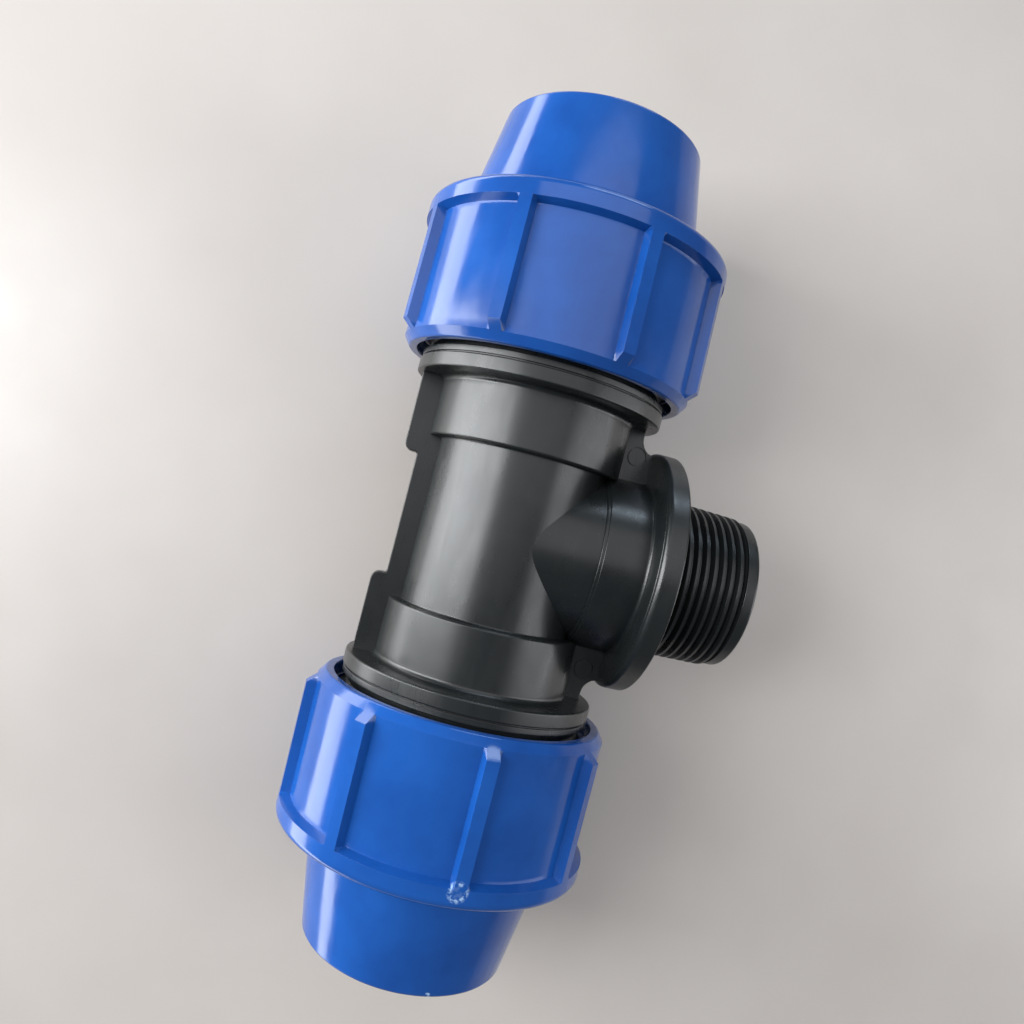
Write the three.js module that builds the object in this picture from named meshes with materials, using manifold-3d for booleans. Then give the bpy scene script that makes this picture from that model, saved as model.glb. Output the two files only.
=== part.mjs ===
// Compression tee for 40 mm polyethylene pipe with a male 1 1/4 inch branch.
// The run lies along Y, the branch points along +X, and the part rests on its nuts with +Z up.
import * as THREE from 'three';
import { mergeVertices } from 'three/addons/utils/BufferGeometryUtils.js';
import Module from 'manifold-3d';

// Driving dimensions, in millimetres. Distances along the run start at the crossing of the two axes.
const pipeRadius = 20;
const pipeClearance = 0.35;
const runRadius = 22.4;
const barrelRadius = 25.4;
const barrelStart = 21.3;
const collarRadius = 32.6;
const collarStart = 36.6;
const collarThickness = 3.6;
const collarFillet = 1.3;
const spigotEnd = 65.5;
const waterwayRadius = 16.5;
const pipeStop = 24;
const sealSeat = 56.3;
const sealBoreRadius = 25.9;
const plateHalf = 2;
const finOuter = 31;
const finInner = 27.4;
const finStep = 16;
const finCorner = 2.2;

const branchRadius = 22;
const branchStepRadius = 22.9;
const branchStep = 21.8;
const branchCollarRadius = 31.9;
const branchCollarStart = 34.8;
const branchCollarEnd = 38.8;
const branchEnd = 63.1;
const branchBoreRadius = 16;
const pipeThreadPitch = 2.309;
const pipeThreadRoot = 19.5;
const pipeThreadHeight = 1.48;
const pipeThreadTaper = 1 / 32;

const nutThreadPitch = 5;
const spigotRootRadius = 31;
const spigotThreadHeight = 2.2;
const spigotThreadStart = 45.2;
const nutBoreRadius = 33.8;
const nutThreadHeight = 2.3;
const nutRadius = 39.9;
const nutPanelRadius = 37.4;
const nutMouthRadius = 34.3;
const nutMouth = 42.4;
const nutPanelStart = 44.6;
const nutPanelEnd = 74.8;
const nutShoulderEnd = 79;
const noseStart = 82.4;
const noseStartRadius = 30.6;
const noseEnd = 107;
const noseEndRadius = 26.3;
const ribCount = 8;
const ribWidth = 2.8;
const ribFootWidth = 4;
const ribMouthRadius = 40.3;
const ribShoulderRadius = 39.3;
const ribPhaseLeft = 27.4;
const ribPhaseRight = 37.9;

const coneStart = 78;
const coneStartRadius = 28.6;
const coneEnd = 104.2;
const coneEndRadius = 24.2;
const noseMouthRadius = 22.4;
const gripRingStart = 79;
const gripRingEnd = 102.5;
const gripRingGap = 0.55;
const gripToothPitch = 4.2;
const gripToothDepth = 0.8;
const gripRingSplit = 5;
const bushStart = 62.6;
const bushEnd = 73.5;
const sealCord = 2.65;
const sealCentre = 59.4;

const nutThreadTurns = 3;
const nutThreadOutline = [[0, 0], [1, 7], [1, 14], [0, 19]];
const wideSegments = 32;
const slimSegments = 24;
const colours = { black: 0x17191a, blue: 0x1d5fd0, acetal: 0xe9e6da, rubber: 0x111111 };

const wasm = await Module();
wasm.setup();

// Turns a closed three.js geometry into a solid that can be cut and joined.
function solid(geometry) {
  geometry.deleteAttribute('normal');
  geometry.deleteAttribute('uv');
  const merged = mergeVertices(geometry, 1e-4);
  const index = merged.getIndex().array;
  const triangles = [];
  for (let i = 0; i < index.length; i += 3) {
    const [a, b, c] = [index[i], index[i + 1], index[i + 2]];
    if (a !== b && b !== c && c !== a) triangles.push(a, b, c);
  }
  const mesh = new wasm.Mesh({
    numProp: 3,
    vertProperties: new Float32Array(merged.getAttribute('position').array),
    triVerts: new Uint32Array(triangles),
  });
  return new wasm.Manifold(mesh);
}

// Turns a solid back into a three.js geometry.
function geometryOf(body) {
  const mesh = body.getMesh();
  const geometry = new THREE.BufferGeometry();
  geometry.setAttribute('position', new THREE.BufferAttribute(new Float32Array(mesh.vertProperties), 3));
  geometry.setIndex(Array.from(mesh.triVerts));
  geometry.computeVertexNormals();
  return geometry;
}

// A solid of revolution about Y from [radius, distance] pairs that go up the outside.
function turned(profile, segments) {
  return solid(new THREE.LatheGeometry(profile.map(([r, y]) => new THREE.Vector2(r, y)), segments));
}

// A solid of revolution about Y whose outline has a right-hand thread between its plain stretches.
// Rows climb one step per facet, so the last facet's rows meet the first facet's one turn further on.
// The thread's outline gives [share of its height, step within one turn] pairs, and both ends fade out.
function threaded(before, thread, after, segments) {
  const { start, turns, pitch, wall, height, outline, descending = false, taper = 0 } = thread;
  const lastStep = Math.round(turns * segments);
  const rows = [];
  for (let turn = -1; turn * segments <= lastStep; turn += 1) {
    for (const [lift, step] of outline) rows.push({ lift, step: turn * segments + step });
  }
  if (descending) rows.reverse();
  const plain = [...before, ...rows.map(() => [wall, start]), ...after];
  const geometry = new THREE.LatheGeometry(plain.map(([r, y]) => new THREE.Vector2(r, y)), segments);
  const position = geometry.getAttribute('position');
  for (let facet = 0; facet <= segments; facet += 1) {
    const angle = (facet / segments) * 2 * Math.PI;
    rows.forEach(({ lift, step }, row) => {
      const here = THREE.MathUtils.clamp(step + facet, 0, lastStep);
      const fade = Math.min(1, (4 * here) / segments, (4 * (lastStep - here)) / segments);
      const along = (here * pitch) / segments;
      const radius = wall - taper * along + height * lift * fade;
      const vertex = facet * plain.length + before.length + row;
      position.setXYZ(vertex, radius * Math.sin(angle), start + along, radius * Math.cos(angle));
    });
  }
  return solid(geometry);
}

// A flat plate in the plane of the two axes, from an outline in that plane.
function plate(outline) {
  const geometry = new THREE.ExtrudeGeometry(outline, {
    depth: 2 * plateHalf,
    bevelEnabled: false,
    curveSegments: 6,
  });
  geometry.translate(0, 0, -plateHalf);
  return solid(geometry);
}

// One half of the run with its collar and threaded spigot, pointing along +Y.
function runHalf() {
  const collarEnd = collarStart + collarThickness;
  const neckRadius = 30.4;
  const neckEnd = 42.6;
  const tipChamfer = 1.2;
  const foot = [
    [0, 0],
    [runRadius, 0],
    [runRadius, barrelStart],
    [barrelRadius, barrelStart],
    [barrelRadius, collarStart - collarFillet],
    [barrelRadius + 0.3 * collarFillet, collarStart - 0.3 * collarFillet],
    [barrelRadius + collarFillet, collarStart],
    [collarRadius, collarStart],
    [collarRadius, collarEnd],
    [neckRadius, collarEnd],
    [neckRadius, neckEnd],
    [spigotRootRadius, neckEnd + 0.6],
  ];
  const tip = [
    [spigotRootRadius, spigotEnd - tipChamfer],
    [spigotRootRadius - tipChamfer, spigotEnd],
    [0, spigotEnd],
  ];
  const thread = {
    start: spigotThreadStart,
    turns: nutThreadTurns,
    pitch: nutThreadPitch,
    wall: spigotRootRadius,
    height: spigotThreadHeight,
    outline: nutThreadOutline,
  };
  return threaded(foot, thread, tip, wideSegments);
}

// The hollow of one half of the run: waterway, pipe socket and seal seat.
function runHollow() {
  const mouthChamfer = 1;
  const socketRadius = pipeRadius + pipeClearance;
  return turned([
    [0, -1],
    [waterwayRadius, -1],
    [waterwayRadius, pipeStop],
    [socketRadius, pipeStop],
    [socketRadius, sealSeat],
    [sealBoreRadius, sealSeat],
    [sealBoreRadius, spigotEnd - mouthChamfer],
    [sealBoreRadius + mouthChamfer, spigotEnd],
    [sealBoreRadius + mouthChamfer, spigotEnd + 1],
    [0, spigotEnd + 1],
  ], slimSegments);
}

// The branch, built along +Y and then turned to point along +X.
function branchShape() {
  const tipChamfer = 0.6;
  const threadStart = branchCollarEnd + 0.8;
  const threadTurns = 9;
  const tipRadius = pipeThreadRoot - pipeThreadTaper * threadTurns * pipeThreadPitch;
  const foot = [
    [0, 0],
    [branchRadius, 0],
    [branchRadius, branchStep],
    [branchStepRadius, branchStep + 0.5],
    [branchStepRadius, 31],
    [26, branchCollarStart - 0.6],
    [branchCollarRadius - 1, branchCollarStart],
    [branchCollarRadius, branchCollarStart + 0.5],
    [branchCollarRadius, branchCollarEnd],
    [pipeThreadRoot, branchCollarEnd],
  ];
  const tip = [
    [tipRadius, branchEnd - tipChamfer],
    [tipRadius - tipChamfer, branchEnd],
    [0, branchEnd],
  ];
  const thread = {
    start: threadStart,
    turns: threadTurns,
    pitch: pipeThreadPitch,
    wall: pipeThreadRoot,
    height: pipeThreadHeight,
    outline: [[0, 0], [1, 10], [1, 14]],
    taper: pipeThreadTaper,
  };
  return threaded(foot, thread, tip, slimSegments).rotate([0, 0, -90]);
}

// The stiffening fin behind the run, which steps in between the two pipe sockets.
function backFin() {
  const end = collarStart + 0.5;
  const outline = new THREE.Shape();
  outline.moveTo(-runRadius + 4, -end);
  outline.lineTo(-runRadius + 4, end);
  outline.lineTo(-finOuter, end);
  outline.lineTo(-finOuter, finStep + finCorner);
  outline.absarc(-finOuter + finCorner, finStep + finCorner, finCorner, Math.PI, 1.5 * Math.PI, false);
  outline.lineTo(-finInner, finStep - finCorner);
  outline.lineTo(-finInner, -finStep + finCorner);
  outline.lineTo(-finOuter + finCorner, -finStep);
  outline.absarc(-finOuter + finCorner, -finStep - finCorner, finCorner, 0.5 * Math.PI, Math.PI, false);
  outline.lineTo(-finOuter, -end);
  return plate(outline);
}

// The web that fills the corner between a run collar and the branch collar; side is +1 or -1 along Y.
function cornerWeb(side) {
  const outerX = 30;
  const outerY = 30.8;
  const bend = 4;
  const end = collarStart + 0.5;
  const outline = new THREE.Shape();
  outline.moveTo(branchRadius - 6, side * 12);
  outline.lineTo(branchCollarStart + 0.5, side * 12);
  outline.lineTo(branchCollarStart + 0.5, side * outerY);
  outline.lineTo(outerX + bend, side * outerY);
  outline.quadraticCurveTo(outerX + 0.4, side * (outerY + 0.4), outerX, side * (outerY + bend));
  outline.lineTo(outerX, side * end);
  outline.lineTo(branchRadius - 6, side * end);
  return plate(outline);
}

function teeBody() {
  const half = runHalf();
  const hollow = runHollow();
  const boreEnd = branchEnd + 1;
  const boreProfile = [[0, 0], [branchBoreRadius, 0], [branchBoreRadius, boreEnd], [0, boreEnd]];
  const branchBore = turned(boreProfile, slimSegments).rotate([0, 0, -90]);
  const outside = half
    .add(half.rotate([0, 0, 180]))
    .add(branchShape())
    .add(backFin())
    .add(cornerWeb(1))
    .add(cornerWeb(-1));
  return outside.subtract(hollow).subtract(hollow.rotate([0, 0, 180])).subtract(branchBore);
}

// One grip rib of the nut, standing on the panel at the given angle from the branch direction.
// Its mouth end slopes down to the rim, and its other end is buried in the shoulder ring.
function nutRib(angle) {
  const foot = nutPanelRadius - 0.9;
  const slope = 2;
  const end = nutPanelEnd + 0.4;
  const side = new THREE.Shape();
  side.moveTo(foot, nutPanelStart);
  side.lineTo(nutPanelRadius + 0.5, nutPanelStart);
  side.lineTo(ribMouthRadius, nutPanelStart + slope);
  side.lineTo(ribShoulderRadius, end);
  side.lineTo(foot, end);
  const geometry = new THREE.ExtrudeGeometry(side, { depth: 1, bevelEnabled: false });
  geometry.translate(0, 0, -0.5);
  const position = geometry.getAttribute('position');
  for (let i = 0; i < position.count; i += 1) {
    const height = (position.getX(i) - foot) / (ribMouthRadius - foot);
    position.setZ(i, position.getZ(i) * THREE.MathUtils.lerp(ribFootWidth, ribWidth, height));
  }
  geometry.rotateY(THREE.MathUtils.degToRad(-angle));
  return solid(geometry);
}

// The nut, pointing along +Y; phase turns its ribs about the run.
function nut(phase) {
  const mouthEdge = [nutBoreRadius, nutMouth + 1.1];
  const outside = [
    mouthEdge,
    [nutMouthRadius, nutMouth],
    [nutMouthRadius + 1.9, nutMouth],
    [nutPanelRadius, nutPanelStart - 1],
    [nutPanelRadius + 0.4, nutPanelStart],
    [nutPanelRadius, nutPanelEnd - 0.4],
    [nutRadius, nutPanelEnd],
    [nutRadius, nutShoulderEnd - 0.8],
    [nutRadius - 1.4, nutShoulderEnd + 1.1],
    [noseStartRadius + 1.6, noseStart - 1.3],
    [noseStartRadius, noseStart],
    [noseEndRadius, noseEnd - 0.7],
    [noseEndRadius - 0.6, noseEnd],
    [noseMouthRadius, noseEnd],
    [noseMouthRadius, coneEnd + 0.6],
    [coneEndRadius, coneEnd],
    [coneStartRadius, coneStart],
    [31.2, coneStart - 3.4],
    [31.2, 69],
    [nutBoreRadius, 67.6],
  ];
  const thread = {
    start: spigotThreadStart + nutThreadPitch / 2,
    turns: nutThreadTurns,
    pitch: nutThreadPitch,
    wall: nutBoreRadius,
    height: -nutThreadHeight,
    outline: nutThreadOutline,
    descending: true,
  };
  let shape = threaded(outside, thread, [mouthEdge], wideSegments);
  for (let i = 0; i < ribCount; i += 1) {
    shape = shape.add(nutRib(phase + (i * 360) / ribCount));
  }
  return shape;
}

// The split clamping ring, a cone outside and toothed inside, pointing along +Y.
function gripRing() {
  const slope = (coneEndRadius - coneStartRadius) / (coneEnd - coneStart);
  const outside = (y) => coneStartRadius + slope * (y - coneStart) - gripRingGap;
  const inner = pipeRadius + 0.7;
  const teeth = [];
  for (let y = gripRingEnd - 1.5; y > gripRingStart + gripToothPitch; y -= gripToothPitch) {
    teeth.push([inner, y]);
    teeth.push([inner + gripToothDepth, y - gripToothPitch + 0.4]);
  }
  const last = teeth[teeth.length - 1];
  const ring = turned([
    [outside(gripRingStart) - 0.8, gripRingStart],
    [outside(gripRingStart), gripRingStart + 0.8],
    [outside(gripRingEnd), gripRingEnd],
    [inner + 1.4, gripRingEnd],
    ...teeth,
    [inner, last[1] - 0.4],
    [inner + 0.8, gripRingStart],
    [outside(gripRingStart) - 0.8, gripRingStart],
  ], slimSegments);
  const slit = new THREE.BoxGeometry(20, 60, gripRingSplit);
  slit.translate(-25, (gripRingStart + gripRingEnd) / 2, 0);
  return ring.subtract(solid(slit).rotate([0, 50, 0]));
}

// The bush that the clamping ring pushes against the seal, pointing along +Y.
function thrustBush() {
  const inner = pipeRadius + 0.6;
  const flangeStart = spigotEnd + 0.8;
  return turned([
    [inner, bushStart],
    [sealBoreRadius - 0.4, bushStart],
    [sealBoreRadius - 0.4, flangeStart],
    [29.6, flangeStart],
    [29.6, flangeStart + 3],
    [27.4, flangeStart + 3.8],
    [27.4, bushEnd],
    [inner + 1, bushEnd],
    [inner, bushEnd - 1],
    [inner, bushStart],
  ], slimSegments);
}

function sealRing() {
  const geometry = new THREE.TorusGeometry(pipeRadius + 0.25 + sealCord, sealCord, 8, slimSegments);
  geometry.rotateX(Math.PI / 2);
  geometry.translate(0, sealCentre, 0);
  return solid(geometry);
}

// A named mesh; the pieces of the left end are turned half round about Z.
function piece(name, body, colour, roughness, turnedRound = false) {
  const material = new THREE.MeshStandardMaterial({ color: colour, roughness, metalness: 0 });
  const mesh = new THREE.Mesh(geometryOf(body), material);
  mesh.name = name;
  if (turnedRound) mesh.rotation.z = Math.PI;
  return mesh;
}

const tee = new THREE.Group();
tee.add(piece('tee_body', teeBody(), colours.black, 0.45));
for (const [end, phase, turnedRound] of [['a', ribPhaseLeft, false], ['b', 180 - ribPhaseRight, true]]) {
  tee.add(piece(`nut_${end}`, nut(phase), colours.blue, 0.25, turnedRound));
  tee.add(piece(`grip_ring_${end}`, gripRing(), colours.acetal, 0.4, turnedRound));
  tee.add(piece(`thrust_bush_${end}`, thrustBush(), colours.black, 0.5, turnedRound));
  tee.add(piece(`seal_ring_${end}`, sealRing(), colours.rubber, 0.7, turnedRound));
}
const extent = new THREE.Box3().setFromObject(tee);
tee.position.set(-(extent.min.x + extent.max.x) / 2, 0, -extent.min.z);

export default tee;
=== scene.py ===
import math
import bpy
from mathutils import Matrix, Vector


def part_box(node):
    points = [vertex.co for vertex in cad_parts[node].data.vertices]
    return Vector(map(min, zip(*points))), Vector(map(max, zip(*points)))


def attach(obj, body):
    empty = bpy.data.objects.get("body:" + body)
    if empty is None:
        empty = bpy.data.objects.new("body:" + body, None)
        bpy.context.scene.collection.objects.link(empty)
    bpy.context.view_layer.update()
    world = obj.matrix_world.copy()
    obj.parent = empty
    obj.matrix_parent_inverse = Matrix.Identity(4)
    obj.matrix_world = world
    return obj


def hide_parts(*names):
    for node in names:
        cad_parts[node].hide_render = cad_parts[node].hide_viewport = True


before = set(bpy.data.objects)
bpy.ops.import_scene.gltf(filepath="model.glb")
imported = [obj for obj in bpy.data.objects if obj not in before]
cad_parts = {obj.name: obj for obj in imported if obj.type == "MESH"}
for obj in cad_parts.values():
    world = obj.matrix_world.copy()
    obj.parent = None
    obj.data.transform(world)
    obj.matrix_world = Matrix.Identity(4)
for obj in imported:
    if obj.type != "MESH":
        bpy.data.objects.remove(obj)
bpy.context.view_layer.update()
mm = 0.001
branchReach = 63.1  # from the crossing of the two axes to the end of the branch
meshCare = {"merge": 0.002, "sliver": 0.0005, "slitSides": 12, "arcStep": 20, "cut": 0.0001}
teeLow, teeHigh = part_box("tee_body")
crossing = Vector((teeHigh.x - branchReach * mm, 0, (teeLow.z + teeHigh.z) / 2))

# Outlines are (distance from the axis, height along it) in mm, and heights start at the crossing.
# Every piece is drawn standing on the Z axis, and is laid along the run or the branch at the end.
towardsA = Matrix.Rotation(math.radians(-90), 4, "X")
towardsB = Matrix.Rotation(math.radians(180), 4, "Z") @ towardsA
towardsBranch = Matrix.Rotation(math.radians(90), 4, "Y")


def deselectAll():
    if bpy.context.object and bpy.context.object.mode != "OBJECT":
        bpy.ops.object.mode_set(mode="OBJECT")
    bpy.ops.object.select_all(action="DESELECT")


def pick(piece):
    deselectAll()
    piece.select_set(True)
    bpy.context.view_layer.objects.active = piece


def startEdit(piece, kind="VERT"):
    pick(piece)
    bpy.ops.object.mode_set(mode="EDIT")
    bpy.ops.mesh.select_mode(type=kind)
    bpy.ops.mesh.select_all(action="DESELECT")


def endEdit():
    bpy.ops.object.mode_set(mode="OBJECT")


# In edit mode, selects the vertices for which test(angle, distance from the axis, height) holds.
def chooseVertices(piece, test):
    bpy.ops.mesh.select_mode(type="VERT")
    bpy.ops.mesh.select_all(action="DESELECT")
    endEdit()
    for vertex in piece.data.vertices:
        x, y, z = vertex.co
        vertex.select = test(math.degrees(math.atan2(y, x)), math.hypot(x, y) / mm, z / mm)
    bpy.ops.object.mode_set(mode="EDIT")


# A corner written as (radius, height, fillet) becomes an arc.
def rounded(corners):
    outline = []
    for i, corner in enumerate(corners):
        if len(corner) < 3:
            outline.append(tuple(corner))
            continue
        here = Vector(corner[:2])
        back = (Vector(corners[i - 1][:2]) - here).normalized()
        ahead = (Vector(corners[i + 1][:2]) - here).normalized()
        opening = back.angle(ahead)
        centre = here + (back + ahead).normalized() * corner[2] / math.sin(opening / 2)
        start = here + back * corner[2] / math.tan(opening / 2) - centre
        sweep = start.angle_signed(here + ahead * corner[2] / math.tan(opening / 2) - centre)
        steps = max(2, math.ceil(abs(sweep) / math.radians(meshCare["arcStep"])))
        for step in range(steps + 1):
            turned = start.copy()
            turned.rotate(Matrix.Rotation(-sweep * step / steps, 2))
            outline.append(tuple(centre + turned))
    return outline


# Draws a chain of vertices, starting from one small face merged to a point.
def drawChain(name, points):
    deselectAll()
    bpy.ops.mesh.primitive_plane_add(size=mm, location=points[0])
    piece = bpy.context.object
    piece.name = name
    bpy.ops.object.mode_set(mode="EDIT")
    bpy.ops.mesh.select_all(action="SELECT")
    bpy.ops.mesh.merge(type="CENTER")
    for here, there in zip(points, points[1:]):
        step = [b - a for a, b in zip(here, there)]
        bpy.ops.mesh.extrude_region_move(TRANSFORM_OT_translate={"value": step})
    endEdit()
    bpy.ops.object.transform_apply()
    return piece


def drawOutline(name, corners):
    return drawChain(name, [(r * mm, 0, z * mm) for r, z in rounded(corners)])


# Merges what meets, closes slits and turns the faces outwards.
def closeSkin(piece):
    startEdit(piece)
    bpy.ops.mesh.select_all(action="SELECT")
    bpy.ops.mesh.remove_doubles(threshold=meshCare["merge"] * mm)
    bpy.ops.mesh.dissolve_degenerate(threshold=meshCare["sliver"] * mm)
    bpy.ops.mesh.select_all(action="SELECT")
    bpy.ops.mesh.fill_holes(sides=meshCare["slitSides"])
    bpy.ops.mesh.select_all(action="SELECT")
    bpy.ops.mesh.normals_make_consistent(inside=False)
    endEdit()


def turnOutline(name, corners, segments):
    piece = drawOutline(name, corners)
    startEdit(piece)
    bpy.ops.mesh.select_all(action="SELECT")
    bpy.ops.mesh.spin(steps=segments, angle=2 * math.pi, center=(0, 0, 0), axis=(0, 0, 1))
    endEdit()
    closeSkin(piece)
    return piece


# A threaded rod: the outline of one turn goes round as a screw, and two cuts close its ends.
def threadRod(name, oneTurn, pitch, low, high, segments):
    turns = math.ceil((high - low) / pitch) + 3
    lift = math.floor((low - 2 * pitch - oneTurn[0][1]) / pitch) * pitch
    rod = drawOutline(name, [(r, z + lift) for r, z in oneTurn])
    pick(rod)
    bpy.ops.object.modifier_add(type="SCREW")
    screw = rod.modifiers[-1]
    screw.axis = "Z"
    screw.screw_offset = pitch * mm
    screw.iterations = turns
    screw.steps = segments
    screw.render_steps = segments
    bpy.ops.object.modifier_apply(modifier=screw.name)
    startEdit(rod)
    for height, above in ((low, False), (high, True)):
        bpy.ops.mesh.select_all(action="SELECT")
        bpy.ops.mesh.remove_doubles(threshold=meshCare["merge"] * mm)
        bpy.ops.mesh.bisect(
            plane_co=(0, 0, height * mm), plane_no=(0, 0, 1), use_fill=True,
            clear_inner=not above, clear_outer=above, threshold=meshCare["cut"] * mm,
        )
    endEdit()
    closeSkin(rod)
    return rod


# A flat plate in the plane of the two axes, with softened edges.
def cutPlate(name, points, half, softness):
    plate = drawChain(name, [(x * mm, y * mm, -half * mm) for x, y in points])
    startEdit(plate)
    bpy.ops.mesh.select_all(action="SELECT")
    bpy.ops.mesh.edge_face_add()
    bpy.ops.mesh.extrude_region_move(TRANSFORM_OT_translate={"value": (0, 0, 2 * half * mm)})
    endEdit()
    closeSkin(plate)
    pick(plate)
    bpy.ops.object.modifier_add(type="BEVEL")
    bevel = plate.modifiers[-1]
    bevel.width = softness * mm
    bevel.segments = 2
    bevel.limit_method = "ANGLE"
    bevel.angle_limit = math.radians(35)
    bpy.ops.object.modifier_apply(modifier=bevel.name)
    return plate


def combine(piece, tool, how):
    pick(piece)
    bpy.ops.object.modifier_add(type="BOOLEAN")
    joining = piece.modifiers[-1]
    joining.operation = how
    joining.object = tool
    joining.solver = "EXACT"
    bpy.ops.object.modifier_apply(modifier=joining.name)
    bpy.data.objects.remove(tool)
    return piece


def duplicate(piece, name):
    pick(piece)
    bpy.ops.object.duplicate()
    bpy.context.object.name = name
    return bpy.context.object


def turnTo(piece, matrix):
    piece.matrix_world = matrix
    pick(piece)
    bpy.ops.object.transform_apply(location=True, rotation=True, scale=True)
    return piece


def smooth(piece, angle=30):
    closeSkin(piece)
    pick(piece)
    bpy.ops.object.shade_smooth_by_angle(angle=math.radians(angle))
    bpy.ops.object.modifier_add(type="WEIGHTED_NORMAL")
    weighted = piece.modifiers[-1]
    weighted.keep_sharp = True
    bpy.ops.object.modifier_apply(modifier=weighted.name)


def finishPiece(piece, material, body, node):
    piece.data.materials.clear()
    piece.data.materials.append(material)
    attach(piece, body)
    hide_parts(node)


print("stage: frame loaded, crossing at", [round(v, 5) for v in crossing])


# The plastics, the rubber and the floor.
def newMaterial(name):
    material = bpy.data.materials.new(name)
    material.use_nodes = True
    return material, material.node_tree


def addNode(tree, kind, links=(), **values):
    node = tree.nodes.new("ShaderNode" + kind)
    for name, value in values.items():
        if name in node.inputs:
            node.inputs[name].default_value = value
        else:
            setattr(node, name, value)
    for name, source in links:
        tree.links.new(source, node.inputs[name])
    return node


def noiseOf(tree, place, scale, detail=4.0, roughness=0.55, stretch=None):
    vector = place
    if stretch:
        mapping = addNode(tree, "Mapping", links=[("Vector", place)])
        mapping.inputs["Scale"].default_value = stretch
        vector = mapping.outputs["Vector"]
    noise = addNode(
        tree, "TexNoise", links=[("Vector", vector)],
        Scale=scale, Detail=detail, Roughness=roughness,
    )
    return noise.outputs["Fac"]


def rangeOf(tree, value, low, high, toLow, toHigh):
    node = addNode(tree, "MapRange", links=[("Value", value)])
    limits = {"From Min": low, "From Max": high, "To Min": toLow, "To Max": toHigh}
    for name, number in limits.items():
        node.inputs[name].default_value = number
    return node.outputs["Result"]


def mixColours(tree, amount, first, second):
    mix = addNode(tree, "Mix", data_type="RGBA")
    tree.links.new(amount, mix.inputs[0])
    for socket, colour in ((mix.inputs[6], first), (mix.inputs[7], second)):
        if isinstance(colour, bpy.types.NodeSocket):
            tree.links.new(colour, socket)
        else:
            socket.default_value = (*colour, 1)
    return mix.outputs[2]


def multiply(tree, first, second):
    node = addNode(tree, "Math", operation="MULTIPLY")
    tree.links.new(first, node.inputs[0])
    tree.links.new(second, node.inputs[1])
    return node.outputs[0]


def bumpOf(tree, height, strength, distance, under=None):
    bump = addNode(tree, "Bump", links=[("Height", height)], Strength=strength, Distance=distance)
    if under:
        tree.links.new(under, bump.inputs["Normal"])
    return bump.outputs["Normal"]


blackLook = {
    "deep": (0.0075, 0.0092, 0.0098), "worn": (0.0125, 0.0145, 0.0145),
    "dust": (0.06, 0.062, 0.06),
    "gloss": 0.24, "matte": 0.36, "grain": 3400, "clouds": 70,
}
blueLook = {
    "deep": (0.006, 0.055, 0.25), "light": (0.009, 0.078, 0.33),
    "scar": (0.40, 0.58, 0.80),
    "gloss": 0.11, "matte": 0.19, "ripples": 95, "grain": 2600,
}
acetalLook = {
    "clean": (0.74, 0.71, 0.62), "aged": (0.62, 0.57, 0.45), "gloss": 0.34, "matte": 0.5,
}
rubberLook = {
    "clean": (0.010, 0.010, 0.011), "aged": (0.045, 0.045, 0.043), "gloss": 0.55, "matte": 0.8,
}
floorLook = {
    "clean": (0.52, 0.48, 0.445), "aged": (0.47, 0.43, 0.395), "gloss": 0.30, "matte": 0.42,
}


# The black body and bushes: cloudy, with specks of dust, rubbed unevenly and finely scratched.
def mouldedBlack(name, look):
    material, tree = newMaterial(name)
    place = addNode(tree, "TexCoord").outputs["Object"]
    shader = tree.nodes["Principled BSDF"]
    clouds = noiseOf(tree, place, look["clouds"], 5)
    wear = rangeOf(tree, clouds, 0.35, 0.7, 0, 1)
    colour = mixColours(tree, wear, look["deep"], look["worn"])
    specks = rangeOf(tree, noiseOf(tree, place, 1500, 2, 0.4), 0.72, 0.8, 0, 0.5)
    colour = mixColours(tree, specks, colour, look["dust"])
    tree.links.new(colour, shader.inputs["Base Color"])
    rub = noiseOf(tree, place, 210, 6, 0.65, stretch=(1.0, 0.25, 1.0))
    sheen = rangeOf(tree, rub, 0.3, 0.7, look["gloss"], look["matte"])
    tree.links.new(sheen, shader.inputs["Roughness"])
    shader.inputs["Specular IOR Level"].default_value = 0.5
    sink = bumpOf(tree, noiseOf(tree, place, 55, 2), 0.10, 0.0012)
    grain = bumpOf(tree, noiseOf(tree, place, look["grain"], 3), 0.035, 0.00008, sink)
    scratch = noiseOf(tree, place, 420, 3, 0.6, stretch=(0.12, 2.6, 1.0))
    scratches = bumpOf(tree, rangeOf(tree, scratch, 0.66, 0.74, 0, 1), 0.04, 0.00006, grain)
    tree.links.new(scratches, shader.inputs["Normal"])
    return material


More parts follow.
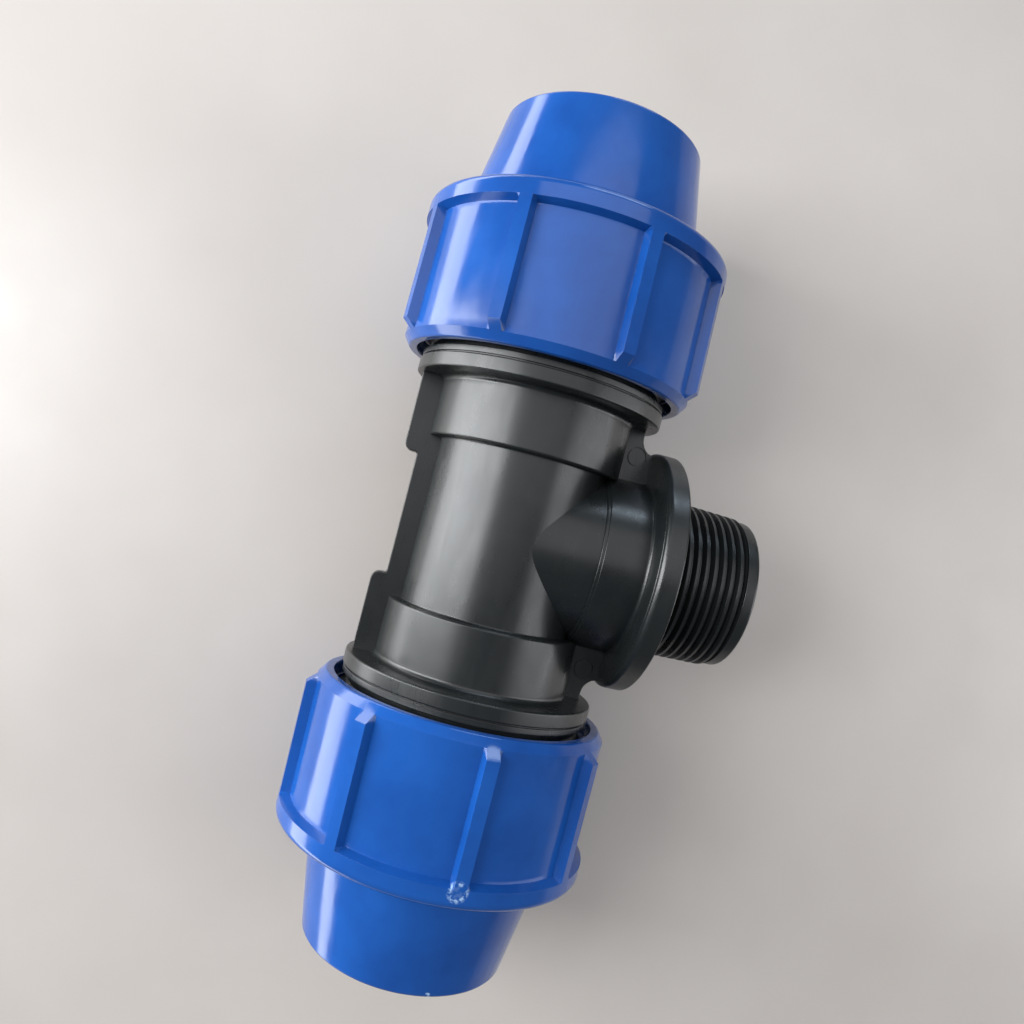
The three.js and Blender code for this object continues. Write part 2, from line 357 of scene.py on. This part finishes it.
# The blue nuts. Each scar is a whitened ring round a spot, and a faint painted highlight fills its
# centre; it is given as place, inner and outer radius, and cover.
def mouldedBlue(name, look, scar_and_highlight_spots=()):
    material, tree = newMaterial(name)
    place = addNode(tree, "TexCoord").outputs["Object"]
    shader = tree.nodes["Principled BSDF"]
    clouds = noiseOf(tree, place, 48, 4)
    paling = rangeOf(tree, clouds, 0.35, 0.68, 0, 1)
    colour = mixColours(tree, paling, look["deep"], look["light"])
    for spot, inner, outer, cover in scar_and_highlight_spots:
        away = addNode(tree, "VectorMath", links=[(0, place)], operation="DISTANCE")
        away.inputs[1].default_value = spot
        distance = away.outputs["Value"]
        near = rangeOf(tree, distance, outer * 0.8, outer * 1.15, 1, 0)
        # Whitened from the inner radius out to the outer one; inside the inner radius only a faint
        # fill of the pale colour stays, which is a painted highlight.
        ring = multiply(tree, near, rangeOf(tree, distance, inner * 0.75, inner, 0.12, 1))
        streaks = rangeOf(tree, noiseOf(tree, place, 900, 5, 0.7), 0.46, 0.56, 0, cover)
        colour = mixColours(tree, multiply(tree, ring, streaks), colour, look["scar"])
    tree.links.new(colour, shader.inputs["Base Color"])
    rub = noiseOf(tree, place, 160, 6, 0.65, stretch=(1.0, 0.3, 1.0))
    sheen = rangeOf(tree, rub, 0.35, 0.7, look["gloss"], look["matte"])
    tree.links.new(sheen, shader.inputs["Roughness"])
    shader.inputs["Specular IOR Level"].default_value = 0.55
    ripple = noiseOf(tree, place, look["ripples"], 3, 0.5, stretch=(1.0, 0.35, 1.0))
    waves = bumpOf(tree, ripple, 0.16, 0.0010)
    grain = noiseOf(tree, place, look["grain"], 2)
    tree.links.new(bumpOf(tree, grain, 0.03, 0.00006, waves), shader.inputs["Normal"])
    return material


def plainMoulded(name, look, scale):
    material, tree = newMaterial(name)
    place = addNode(tree, "TexCoord").outputs["Object"]
    shader = tree.nodes["Principled BSDF"]
    ageing = rangeOf(tree, noiseOf(tree, place, scale, 5), 0.35, 0.7, 0, 1)
    colour = mixColours(tree, ageing, look["clean"], look["aged"])
    tree.links.new(colour, shader.inputs["Base Color"])
    rub = noiseOf(tree, place, scale * 6, 4)
    sheen = rangeOf(tree, rub, 0.3, 0.7, look["gloss"], look["matte"])
    tree.links.new(sheen, shader.inputs["Roughness"])
    grain = noiseOf(tree, place, 2800, 3)
    tree.links.new(bumpOf(tree, grain, 0.08, 0.00008), shader.inputs["Normal"])
    return material


# The clamping nuts. Lengths are in mm, angles in degrees; heights start at the crossing.
nutShape = {
    "ribs": 8, "ribTop": 1.6, "ribFoot": 2.15, "panelMouth": 37.8, "panelShoulder": 37.45,
    "ribMouth": 40.3, "ribShoulder": 39.85, "rim": 44.6, "ribStart": 46.6, "ribEnd": 74.3,
    "panelSteps": 19, "softEdge": 0.25, "phaseA": 27.4, "phaseB": 37.9,
    "threadStart": 45.2, "threadPitch": 5, "threadFrom": 45.0, "threadTo": 66.0,
    "gateAt": 75.6, "gateTurn": 0.8, "nickAt": (26.1, -2.6, 106.6),
}
nutOutline = [
    (34.0, 43.1), (34.3, 42.4, 0.2), (36.3, 42.4, 0.8), (37.9, 44.6),
    (nutShape["ribMouth"], nutShape["ribStart"]), (nutShape["ribShoulder"], nutShape["ribEnd"]),
    (39.9, 75.1, 0.25), (39.9, 79.2, 2.0), (36.6, 80.9, 1.2), (31.4, 81.5, 1.0), (30.4, 83.2, 1.0),
    (26.3, 106.5, 0.4), (25.9, 107.0, 0.2), (22.4, 107.0, 0.4), (22.4, 104.8), (24.2, 104.2),
    (28.6, 78.0), (31.2, 74.6), (31.2, 69.0), (34.0, 67.6), (34.0, 64.4), (31.5, 63.2),
    (31.5, 47.4), (34.0, 46.2), (34.0, 43.1),
]


# Columns of faces stand closer at the ribs: rib top, rib side and then the panel.
def nutBlank(shape):
    nut = drawOutline("nut_blank", nutOutline)
    top = math.degrees(math.asin(shape["ribTop"] / shape["ribMouth"]))
    foot = math.degrees(math.asin(shape["ribFoot"] / shape["panelMouth"]))
    sector = 360 / shape["ribs"]
    side = (1, foot - top)
    columns = [(1, top), side, (shape["panelSteps"], sector - 2 * foot), side, (1, top)]
    startEdit(nut)
    bpy.ops.mesh.select_all(action="SELECT")
    for rib in range(shape["ribs"]):
        for steps, angle in columns:
            bpy.ops.mesh.spin(
                steps=steps, angle=math.radians(angle), center=(0, 0, 0), axis=(0, 0, 1),
                use_auto_merge=False,
            )
    endEdit()
    closeSkin(nut)

    def betweenRibs(angle):
        away = (angle + sector / 2) % sector - sector / 2
        return abs(away) > (top + foot) / 2

    startEdit(nut)
    for height, outer, inner in (
        (shape["ribStart"], shape["ribMouth"], shape["panelMouth"]),
        (shape["ribEnd"], shape["ribShoulder"], shape["panelShoulder"]),
    ):
        def onPanel(angle, radius, z):
            return abs(z - height) < 0.05 and abs(radius - outer) < 0.05 and betweenRibs(angle)

        chooseVertices(nut, onPanel)
        sink = inner / outer
        bpy.ops.transform.resize(value=(sink, sink, 1), center_override=(0, 0, 0))
    bpy.ops.mesh.select_mode(type="EDGE")
    bpy.ops.mesh.select_all(action="DESELECT")
    bpy.ops.mesh.edges_select_sharp(sharpness=math.radians(22))
    endEdit()
    # Only the ribs and panels outside are softened.
    low, high, inside = shape["rim"] - 0.2, shape["ribEnd"] + 1.0, shape["panelShoulder"] - 0.55
    for edge in nut.data.edges:
        for end in edge.vertices:
            x, y, z = nut.data.vertices[end].co / mm
            if not low < z < high or math.hypot(x, y) < inside:
                edge.select = False
    bpy.ops.object.mode_set(mode="EDIT")
    bpy.ops.mesh.bevel(
        offset=shape["softEdge"] * mm, segments=2, affect="EDGES", clamp_overlap=True
    )
    endEdit()
    return nut


# The scar of the gate: a low ring with a dimple in it, on the shoulder over one rib.
def gateScar(shape):
    scar = turnOutline("gate_scar", [
        (0, -1.5), (2.25, -1.5), (2.25, 0.0, 0.1), (1.95, 0.2, 0.1),
        (1.55, 0.02, 0.1), (0.8, -0.14, 0.2), (0, -0.1),
    ], 32)
    lay = Matrix.Rotation(math.radians(90), 4, "Y") @ Matrix.Diagonal((0.82, 1.15, 1, 1))
    place = Matrix.Translation((39.88 * mm, 0, shape["gateAt"] * mm))
    return turnTo(scar, Matrix.Rotation(math.radians(shape["gateTurn"]), 4, "Z") @ place @ lay)


nutTurn = [(31.3, -0.4), (33.75, 0.47), (33.75, 2.5), (31.3, 3.68), (31.3, 4.6)]
blank = nutBlank(nutShape)
combine(blank, gateScar(nutShape), "UNION")
tap = threadRod(
    "tap", [(r, z + nutShape["threadStart"]) for r, z in nutTurn],
    nutShape["threadPitch"], nutShape["threadFrom"], nutShape["threadTo"], 96,
)


# Where a point of the nut, given in mm with the gate's rib at angle 0, ends up in the frame.
def placeOnNut(turn, phase, point):
    local = Matrix.Rotation(phase, 3, "Z") @ Vector(point) * mm
    return crossing + turn.to_3x3() @ local


nutTurns = {
    "a": (towardsA, math.radians(-nutShape["phaseA"] + 180)),
    "b": (towardsB, math.radians(nutShape["phaseB"] + 45 - 180)),
}
for end, (turn, phase) in nutTurns.items():
    nut = duplicate(blank, "nut_shell_" + end)
    turnTo(nut, Matrix.Rotation(phase, 4, "Z"))
    combine(nut, duplicate(tap, "tap_" + end), "DIFFERENCE")
    smooth(nut)
    turnTo(nut, Matrix.Translation(crossing) @ turn)
    gate = placeOnNut(turn, phase, (40, 0.55, nutShape["gateAt"]))
    nick = placeOnNut(turn, phase, nutShape["nickAt"])
    # The gate's mark is a whitened ring with a faint painted highlight in its centre; the nick is
    # a whitened dot.
    scar_and_highlight_spots = [(gate, 1.7 * mm, 2.3 * mm, 0.8), (nick, 0.1 * mm, 0.9 * mm, 0.8)]
    material = mouldedBlue("glossy_blue_" + end, blueLook, scar_and_highlight_spots)
    finishPiece(nut, material, "clamp_nut_" + end, "nut_" + end)
    print("stage: nut", end, len(nut.data.polygons), "faces")
bpy.data.objects.remove(blank)
bpy.data.objects.remove(tap)

# The tee body: the outlines of the run (one half) and of the branch, and one turn of each thread.
runShape = [
    (22.4, 21.3, 0.5), (25.4, 21.3, 0.6), (25.4, 36.6, 1.3), (32.6, 36.6, 0.5), (32.6, 40.2, 0.35),
    (31.8, 40.2), (31.8, 40.55), (32.25, 40.55, 0.15), (32.25, 42.2, 0.35), (30.4, 42.2, 0.3),
    (30.4, 44.2), (30.6, 44.4), (30.6, 63.0), (31.0, 63.4), (31.0, 64.4), (29.8, 65.5),
]
branchOutline = [
    (0, 0), (21.9, 0), (22.0, 21.1), (22.5, 21.15, 0.15), (22.55, 21.85),
    (22.95, 21.9, 0.14), (23.0, 33.4, 0.9),
    (30.1, 33.4), (30.25, 33.3), (30.4, 33.4), (31.9, 33.45, 1.3), (31.9, 38.8, 0.5),
    (21.2, 38.8, 0.3), (20.2, 39.4), (18.0, 40.4), (18.0, 59.5), (19.8, 60.0, 0.2),
    (19.7, branchReach, 0.8), (0, branchReach),
]
spigotTurn = [(31.0, 45.2), (33.2, 46.29), (33.2, 47.39), (31.0, 48.17), (31.0, 50.2)]
pipeTurn = [
    (19.5, 39.6), (20.9, 40.2), (20.98, 40.3), (20.98, 40.95), (20.9, 41.05),
    (19.5, 41.65), (19.5, 41.909),
]
runHollow = [
    (16.5, 24, 0.4), (20.35, 24), (20.35, 56.3, 0.4), (25.9, 56.3), (25.9, 64.6),
    (26.9, 65.6), (26.9, 67), (0, 67),
]
branchBore = [(0, 0), (16, 0), (16, 62.5), (16.7, 63.2), (16.7, 65), (0, 65)]
bodyShape = {
    "plateHalf": 2.0, "finOuter": 31.0, "finInner": 27.4, "finStep": 16.0, "finCorner": 2.2,
    "webX": 30.0, "webY": 30.8, "webBend": 4.0, "collar": 37.1, "soft": 0.35,
    "ejectors": [(29.1, 29.5), (29.0, -28.4)], "ejectorInner": 2.25, "ejectorOuter": 2.75,
    "ejectorDepth": 0.45,
    "spigotPitch": 5, "spigotFrom": 44.3, "spigotTo": 63.2,
    "pipePitch": 2.309, "pipeFrom": 39.3, "pipeTo": 60.9, "taper": 1 / 32, "spare": 0.7,
}


# A rod stands a little past its envelope, which then cuts both ends and the run-outs cleanly.
def spigotRod(name, shape):
    start, end, spare = shape["spigotFrom"], shape["spigotTo"], shape["spare"]
    rod = threadRod(name, spigotTurn, shape["spigotPitch"], start - spare, end + spare, 96)
    envelope = turnOutline("spigot_envelope", [
        (0, start), (30.8, start), (33.3, 46.8), (34.5, 46.8),
        (34.5, 61.0), (33.2, 61.2), (31.05, end), (0, end),
    ], 96)
    return combine(rod, envelope, "INTERSECT")


# The pipe thread is drawn straight at its start and then narrowed towards its end.
def pipeRod(name, shape):
    start, end, spare = shape["pipeFrom"], shape["pipeTo"], shape["spare"]
    rod = threadRod(name, pipeTurn, shape["pipePitch"], start - spare, end + spare, 120)
    envelope = turnOutline("pipe_envelope", [
        (0, start), (20.3, start), (21.6, 40.6), (21.6, 58.9), (19.2, 60.4), (19.2, end), (0, end),
    ], 96)
    combine(rod, envelope, "INTERSECT")
    turnTo(rod, Matrix.Translation((0, 0, -start * mm)))
    pick(rod)
    bpy.ops.object.modifier_add(type="SIMPLE_DEFORM")
    narrow = rod.modifiers[-1]
    narrow.deform_method = "TAPER"
    narrow.deform_axis = "Z"
    narrow.factor = -shape["taper"] * (end - start) / pipeTurn[2][0]
    bpy.ops.object.modifier_apply(modifier=narrow.name)
    turnTo(rod, Matrix.Translation((0, 0, start * mm)))
    return rod


def arc(cx, cy, radius, start, end, steps=6):
    angles = [math.radians(start + (end - start) * i / steps) for i in range(steps + 1)]
    return [(cx + radius * math.cos(a), cy + radius * math.sin(a)) for a in angles]


def backFin(shape):
    end, outer, inner = shape["collar"], shape["finOuter"], shape["finInner"]
    corner, step = shape["finCorner"], shape["finStep"]
    half = [(-18, end), (-outer, end)]
    half += arc(-outer + corner, step + corner, corner, 180, 270)
    half += arc(-inner - 0.6, step - 0.6, 0.6, 90, 0, 3)
    outline = half + [(x, -y) for x, y in reversed(half)]
    return cutPlate("fin", outline, shape["plateHalf"], shape["soft"])


def cornerWeb(shape, side):
    x, y, bend, end = shape["webX"], shape["webY"], shape["webBend"], shape["collar"]
    outline = [(16, 12), (35, 12), (35, y), (x + bend, y)]
    outline += arc(x + bend, y + bend, bend, 270, 180)
    outline += [(x, end), (16, end)]
    outline = [(px, side * py) for px, py in outline]
    return cutPlate("web", outline, shape["plateHalf"], shape["soft"])


# The round groove that an ejector pin left in a web.
def ejectorRing(shape, x, y):
    inner, outer, low = shape["ejectorInner"], shape["ejectorOuter"], -shape["ejectorDepth"]
    ring = turnOutline(
        "ejector_ring", [(inner, low), (outer, low), (outer, 1), (inner, 1), (inner, low)], 48
    )
    return turnTo(ring, Matrix.Translation((x * mm, y * mm, shape["plateHalf"] * mm)))


# Keeps the valley crisp where the branch leaves the run: neither side's shading bends into it.
def markValley(body):
    def onValley(vertex):
        x, y, z = vertex.co / mm
        fromRun, fromBranch = math.hypot(x, z), math.hypot(y, z)
        return x > 0 and abs(fromRun - 22.4) < 0.05 and abs(fromBranch - 21.97) < 0.1

    valley = [onValley(vertex) for vertex in body.data.vertices]
    startEdit(body, "EDGE")
    endEdit()
    for edge in body.data.edges:
        edge.select = all(valley[end] for end in edge.vertices)
    bpy.ops.object.mode_set(mode="EDIT")
    bpy.ops.mesh.mark_sharp()
    endEdit()


# The same outline on both sides of the crossing.
def mirrored(half):
    return [(corner[0], -corner[1], *corner[2:]) for corner in reversed(half)] + half


def teeBody(shape):
    outline = mirrored(runShape + [(0, 65.5)])
    body = turnTo(turnOutline("tee_moulding", outline, 144), towardsA)
    for turn in (towardsA, towardsB):
        combine(body, turnTo(spigotRod("spigot_rod", shape), turn), "UNION")
    print("stage: spigots", len(body.data.polygons), "faces")
    combine(body, backFin(shape), "UNION")
    for side in (1, -1):
        combine(body, cornerWeb(shape, side), "UNION")
    branch = turnOutline("branch", branchOutline, 144)
    combine(branch, pipeRod("pipe_rod", shape), "UNION")
    combine(body, turnTo(branch, towardsBranch), "UNION")
    print("stage: branch", len(body.data.polygons), "faces")
    hollow = turnOutline("run_hollow", mirrored(runHollow), 120)
    combine(body, turnTo(hollow, towardsA), "DIFFERENCE")
    bore = turnOutline("branch_bore", branchBore, 120)
    combine(body, turnTo(bore, towardsBranch), "DIFFERENCE")
    for x, y in shape["ejectors"]:
        combine(body, ejectorRing(shape, x, y), "DIFFERENCE")
    markValley(body)
    smooth(body)
    turnTo(body, Matrix.Translation(crossing))
    return body


body = teeBody(bodyShape)
finishPiece(body, mouldedBlack("satin_black", blackLook), "tee", "tee_body")
print("stage: body", len(body.data.polygons), "faces")

# The pieces inside: clamping rings, bushes and seals.
gripShape = {
    "start": 79.0, "end": 102.5, "slope": (24.2 - 28.6) / (104.2 - 78.0), "gap": 0.55,
    "inner": 20.7, "pitch": 4.2, "tooth": 0.8, "slit": 5.0, "slitTurn": 50, "slant": 7,
}
sealShape = {"inner": 20.25, "cord": 2.65, "height": 59.4, "flash": 0.07}


def gripRing(shape):
    # The ring's outside follows the nut's inner cone at a small gap.
    def outside(height):
        return 28.6 + shape["slope"] * (height - 78.0) - shape["gap"]

    start, end, inner = shape["start"], shape["end"], shape["inner"]
    corners = [(outside(start) - 0.8, start), (outside(start), start + 0.8, 0.3)]
    for height in (86.0, 92.0):
        corners += [
            (outside(height), height), (outside(height) - 0.5, height + 0.3),
            (outside(height) - 0.6, height + 1.5), (outside(height + 1.8), height + 1.8),
        ]
    corners += [(outside(end), end, 0.3), (inner + 1.4, end, 0.2)]
    height = end - 1.5
    while height > start + shape["pitch"]:
        corners += [(inner, height), (inner + shape["tooth"], height - shape["pitch"] + 0.4)]
        height -= shape["pitch"]
    corners += [(inner, height), (inner + 0.8, start, 0.2), (outside(start) - 0.8, start)]
    ring = turnOutline("clamp_ring", corners, 128)
    deselectAll()
    bpy.ops.mesh.primitive_cube_add(size=1, scale=(20 * mm, shape["slit"] * mm, 60 * mm))
    slit = bpy.context.object
    bpy.ops.object.transform_apply()
    turn = Matrix.Rotation(math.radians(shape["slitTurn"]), 4, "Z")
    place = Matrix.Translation((-25 * mm, 0, (start + end) / 2 * mm))
    turnTo(slit, turn @ place @ Matrix.Rotation(math.radians(shape["slant"]), 4, "X"))
    combine(ring, slit, "DIFFERENCE")
    return ring


def thrustBush():
    return turnOutline("bush", [
        (20.6, 66.0), (20.6, 62.6, 0.2), (23.4, 62.6), (25.5, 63.4, 0.2), (25.5, 66.3),
        (29.6, 66.3, 0.3), (29.6, 69.3, 0.2), (27.4, 70.1), (27.4, 73.5, 0.3),
        (21.6, 73.5), (20.6, 72.5), (20.6, 66.0),
    ], 128)


# The seal ring, with the fine flash line that its mould leaves inside and outside.
def sealRing(shape):
    centre = shape["inner"] + shape["cord"]
    corners = []
    for i in range(36):
        angle = math.radians(10 * i)
        radius = shape["cord"] - 0.02 + (shape["flash"] if i % 18 == 0 else 0)
        across, along = radius * math.cos(angle), radius * math.sin(angle)
        corners.append((centre + across, shape["height"] + along))
    return turnOutline("seal", corners + corners[:1], 128)


acetal = plainMoulded("natural_acetal", acetalLook, 60)
rubber = plainMoulded("black_rubber", rubberLook, 120)
bushBlack = mouldedBlack("bush_black", {**blackLook, "gloss": 0.36, "matte": 0.5})
for made, label, material, body, node, slot in (
    (gripRing(gripShape), "clamp_ring_", acetal, "grip_", "grip_ring_", "grip_natural"),
    (thrustBush(), "bush_shell_", bushBlack, "bush_", "thrust_bush_", "bush_black"),
    (sealRing(sealShape), "seal_cord_", rubber, "tee", "seal_ring_", "seal_rubber"),
):
    smooth(made)
    for end, turn in (("a", towardsA), ("b", towardsB)):
        copy = turnTo(duplicate(made, label + end), Matrix.Translation(crossing) @ turn)
        finishPiece(copy, material, body if body == "tee" else body + end, node + end)
    bpy.data.objects.remove(made)
print("stage: inner pieces")

# The floor, the lights and the camera.
roomShape = {"floor": 3.0, "worldColour": (0.86, 0.92, 1.0), "worldStrength": 0.16}
# Each light: place, what it aims at, size, power, colour. The glow is what the floor throws up.
lights = {
    "window": ((-0.62, 0.05, 0.17), (0, 0, 0.04), (0.30, 1.3), 14.5, (0.96, 0.98, 1.0)),
    "glow": ((-0.36, 0.0, 0.004), (-0.36, 0, 1), (0.42, 1.0), 6.5, (0.96, 0.98, 1.0)),
    "side_window": ((0.8, 0.0, 0.33), (0, 0, 0.04), (0.42, 1.0), 4.4, (0.96, 0.97, 1.0)),
    "far_window": ((0.15, 0.9, 0.28), (0, 0, 0.04), (0.45, 0.2), 1.8, (0.72, 0.86, 1.0)),
    "ceiling": ((-0.05, 0.45, 1.05), (0, 0, 0.04), (1.5, 1.05), 6.0, (0.98, 0.98, 1.0)),
}


def layFloor(shape):
    deselectAll()
    bpy.ops.mesh.primitive_plane_add(size=shape["floor"], location=(0, 0, 0))
    floor = bpy.context.object
    floor.name = "floor"
    startEdit(floor, "FACE")
    bpy.ops.mesh.select_all(action="SELECT")
    bpy.ops.mesh.subdivide(number_cuts=4)
    endEdit()
    floor.data.materials.append(plainMoulded("pale_floor", floorLook, 9))


def addLight(name, place, aim, size, power, colour):
    deselectAll()
    bpy.ops.object.light_add(type="AREA", location=place)
    light = bpy.context.object
    light.name = name
    light.data.shape = "RECTANGLE"
    light.data.size, light.data.size_y = size
    light.data.energy = power
    light.data.color = colour
    light.rotation_euler = (Vector(aim) - Vector(place)).to_track_quat("-Z", "Y").to_euler()


layFloor(roomShape)
world = bpy.data.worlds.new("room")
world.use_nodes = True
sky = world.node_tree.nodes["Background"]
sky.inputs["Color"].default_value = (*roomShape["worldColour"], 1)
sky.inputs["Strength"].default_value = roomShape["worldStrength"]
bpy.context.scene.world = world
for name, values in lights.items():
    addLight(name, *values)

cameraShape = {
    "offset": (-0.02676, 0.00300, 0.21281), "turn": (-0.739, -7.356, 14.403), "lens": 28.558,
    "sensor": 36, "nearest": 0.01,
}
bpy.ops.object.camera_add(location=crossing + Vector(cameraShape["offset"]))
camera = bpy.context.object
camera.name = "camera"
camera.rotation_euler = [math.radians(angle) for angle in cameraShape["turn"]]
camera.data.lens = cameraShape["lens"]
camera.data.sensor_width = cameraShape["sensor"]
camera.data.clip_start = cameraShape["nearest"]
bpy.context.scene.camera = camera
bpy.context.scene.view_settings.view_transform = "Standard"
deselectAll()
